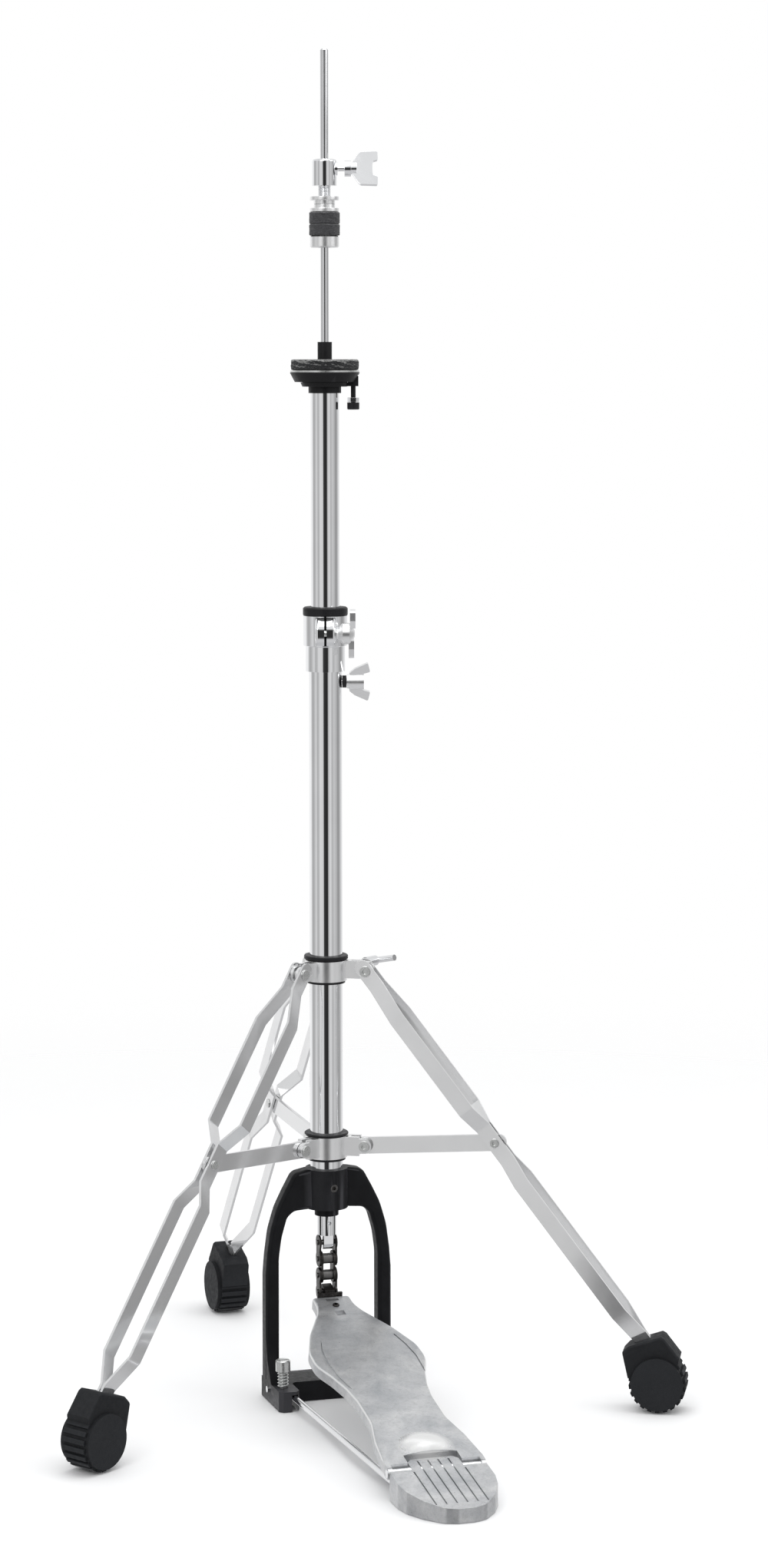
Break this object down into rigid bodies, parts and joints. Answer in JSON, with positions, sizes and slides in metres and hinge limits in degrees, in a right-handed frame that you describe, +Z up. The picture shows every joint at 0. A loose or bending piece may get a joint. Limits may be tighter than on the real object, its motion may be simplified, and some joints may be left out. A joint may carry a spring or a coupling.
{
  "type": "hi-hat stand",
  "caption": "Folding-tripod cymbal stand whose hinged footboard pulls a rod down through a telescopic tube by a chain.",
  "frame": {"origin": "on the floor, on the axis of the upright tubes, at the underside of the pedal frame's crossbar", "axes": "+Z up along the tubes, -Y towards the heel of the pedal, +X to the player's right as seen from the pedal"},
  "size_m": [0.4934, 0.611, 1.04],
  "materials": {
    "chrome": "polished chrome plate",
    "rod_steel": "polished steel rod",
    "zinc": "bright zinc plate",
    "cast_aluminium": "satin tumbled casting",
    "black_casting": "black powder coat",
    "black_plastic": "moulded black plastic",
    "rubber": "matt moulded rubber",
    "dark_steel": "dark oiled steel",
    "spring_steel": "plain spring steel",
    "dark_felt": "pressed dark grey felt",
    "grey_felt": "pressed grey felt"
  },
  "bodies": {
    "stand": {"lower_tube": "chrome", "pedal_frame": "black_casting", "frame_set_screw": "dark_steel", "tie_rods": "rod_steel", "heel_plate": "cast_aluminium", "hinge_pin": "rod_steel", "height_clamp": "chrome", "height_bushing": "black_plastic", "height_clamp_bolt": "zinc", "lock_screw_washer": "black_plastic", "rod_guide": "black_plastic", "return_spring": "spring_steel", "left_spur_spring": "zinc", "right_spur_spring": "zinc"},
    "footboard": {"footboard": "cast_aluminium", "toe_bracket": "dark_steel", "toe_bracket_screw": "dark_steel"},
    "pull_rod": {"pull_rod": "rod_steel", "lower_pull_rod": "rod_steel", "spring_cap": "black_plastic", "chain_connector": "chrome"},
    "chain": {"chain_plates": "dark_steel", "chain_pins": "dark_steel", "chain_rollers": "dark_steel"},
    "clutch": {"clutch_body": "chrome", "clutch_sleeve": "rod_steel", "clutch_lock_nuts": "chrome", "clutch_felts": "dark_felt"},
    "clutch_screw": {"clutch_wing_screw": "chrome"},
    "clutch_nut": {"clutch_bottom_nut": "chrome"},
    "upper_tube": {"upper_tube": "chrome", "seat_base": "black_plastic"},
    "seat": {"seat_cup": "black_plastic", "seat_washer": "zinc", "seat_felt": "grey_felt", "seat_sleeve": "black_plastic"},
    "tilter": {"tilter_screw": "black_plastic", "tilter_nut": "chrome"},
    "height_nut": {"height_wing_nut": "chrome"},
    "lock_screw": {"lock_wing_screw": "chrome"},
    "brace_collar": {"brace_collar": "chrome", "brace_collar_bushing": "black_plastic", "brace_collar_rivets": "zinc"},
    "leg_collar": {"leg_collar": "chrome", "leg_collar_bushing": "black_plastic"},
    "t_screw": {"collar_t_screw": "chrome"},
    "right_leg": {"right_leg_strips": "chrome", "right_leg_rivets": "zinc", "right_foot": "rubber"},
    "right_brace": {"right_brace": "chrome"},
    "left_leg": {"left_leg_strips": "chrome", "left_leg_rivets": "zinc", "left_foot": "rubber"},
    "left_brace": {"left_brace": "chrome"},
    "rear_leg": {"rear_leg_strips": "chrome", "rear_leg_rivets": "zinc", "rear_foot": "rubber"},
    "rear_brace": {"rear_brace": "chrome"},
    "left_spur": {"left_spur": "zinc"},
    "right_spur": {"right_spur": "zinc"}
  },
  "joints": [
    {"name": "footboard_hinge", "type": "hinge", "parent": "stand", "child": "footboard", "pos_m": [0, -0.266, 0.0175], "axis": [-1, 0, 0], "range_deg": [0, 7]},
    {"name": "rod_slide", "type": "slide", "parent": "stand", "child": "pull_rod", "axis": [0, 0, -1], "range_m": [0, 0.0335], "stiffness_N_per_m": 1500, "springref_m": -0.02, "deforming": ["return_spring"]},
    {"name": "chain_swing", "type": "hinge", "parent": "pull_rod", "child": "chain", "pos_m": [0, 0, 0.116], "axis": [1, 0, 0], "range_deg": [0, 8.8]},
    {"name": "clutch_slide", "type": "slide", "parent": "pull_rod", "child": "clutch", "axis": [0, 0, 1], "range_m": [-0.045, 0.08]},
    {"name": "clutch_screw_turn", "type": "hinge", "parent": "clutch", "child": "clutch_screw", "pos_m": [0, 0, 0.947], "axis": [0.9573, -0.289, 0], "continuous": true},
    {"name": "clutch_nut_turn", "type": "hinge", "parent": "clutch", "child": "clutch_nut", "pos_m": [0, 0, 0.89], "axis": [0, 0, 1], "continuous": true},
    {"name": "height_slide", "type": "slide", "parent": "stand", "child": "upper_tube", "axis": [0, 0, 1], "range_m": [-0.1, 0.04]},
    {"name": "seat_tilt", "type": "hinge", "parent": "upper_tube", "child": "seat", "pos_m": [-0.01809, 0.00546, 0.7816], "axis": [-0.289, -0.9573, 0], "range_deg": [0, 2.5]},
    {"name": "tilter_slide", "type": "slide", "parent": "upper_tube", "child": "tilter", "axis": [0, 0, 1], "range_m": [0, 0.0019]},
    {"name": "height_nut_turn", "type": "hinge", "parent": "stand", "child": "height_nut", "pos_m": [-0.0065, -0.02154, 0.5887], "axis": [0.9573, -0.289, 0], "continuous": true},
    {"name": "lock_screw_turn", "type": "hinge", "parent": "stand", "child": "lock_screw", "pos_m": [0, 0, 0.5499], "axis": [0.9573, -0.289, 0], "continuous": true},
    {"name": "tripod_swivel", "type": "hinge", "parent": "stand", "child": "brace_collar", "pos_m": [0, 0, 0.19], "axis": [0, 0, 1], "range_deg": [-30, 30]},
    {"name": "tripod_fold", "type": "slide", "parent": "brace_collar", "child": "leg_collar", "axis": [0, 0, 1], "range_m": [0, 0.08]},
    {"name": "t_screw_turn", "type": "hinge", "parent": "leg_collar", "child": "t_screw", "pos_m": [0, 0, 0.3265], "axis": [0.8454, 0.5341, 0], "continuous": true},
    {"name": "right_leg_hinge", "type": "hinge", "parent": "leg_collar", "child": "right_leg", "pos_m": [0.02806, -0.01474, 0.3271], "axis": [0.4652, 0.8852, 0], "range_deg": [0, 10]},
    {"name": "right_brace_hinge", "type": "hinge", "parent": "brace_collar", "child": "right_brace", "pos_m": [0.02718, -0.01428, 0.1921], "axis": [-0.4652, -0.8852, 0], "range_deg": [0, 40]},
    {"name": "left_leg_hinge", "type": "hinge", "parent": "leg_collar", "child": "left_leg", "pos_m": [-0.0268, -0.01693, 0.3271], "axis": [0.5341, -0.8454, 0], "range_deg": [0, 10]},
    {"name": "left_brace_hinge", "type": "hinge", "parent": "brace_collar", "child": "left_brace", "pos_m": [-0.02595, -0.0164, 0.1921], "axis": [-0.5341, 0.8454, 0], "range_deg": [0, 40]},
    {"name": "rear_leg_hinge", "type": "hinge", "parent": "leg_collar", "child": "rear_leg", "pos_m": [-0.00126, 0.03168, 0.3271], "axis": [-0.9992, -0.0398, 0], "range_deg": [0, 10]},
    {"name": "rear_brace_hinge", "type": "hinge", "parent": "brace_collar", "child": "rear_brace", "pos_m": [-0.00122, 0.03068, 0.1921], "axis": [0.9992, 0.0398, 0], "range_deg": [0, 40]},
    {"name": "left_spur_slide", "type": "slide", "parent": "stand", "child": "left_spur", "axis": [0, 0, 1], "range_m": [-0.0012, 0.004], "deforming": ["left_spur_spring"]},
    {"name": "right_spur_slide", "type": "slide", "parent": "stand", "child": "right_spur", "axis": [0, 0, 1], "range_m": [-0.0012, 0.004], "deforming": ["right_spur_spring"]}
  ],
  "couplings": [
    {"joint": "rod_slide", "follows": "footboard_hinge", "m_per_rad": 0.271},
    {"joint": "chain_swing", "follows": "footboard_hinge", "ratio": 1.22},
    {"joint": "tilter_slide", "follows": "seat_tilt", "m_per_rad": 0.041},
    {"joint": "right_leg_hinge", "follows": "tripod_fold", "rad_per_m": 2.1252},
    {"joint": "right_brace_hinge", "follows": "tripod_fold", "rad_per_m": 8.5541},
    {"joint": "left_leg_hinge", "follows": "tripod_fold", "rad_per_m": 2.1252},
    {"joint": "left_brace_hinge", "follows": "tripod_fold", "rad_per_m": 8.5541},
    {"joint": "rear_leg_hinge", "follows": "tripod_fold", "rad_per_m": 2.1252},
    {"joint": "rear_brace_hinge", "follows": "tripod_fold", "rad_per_m": 8.5541}
  ]
}
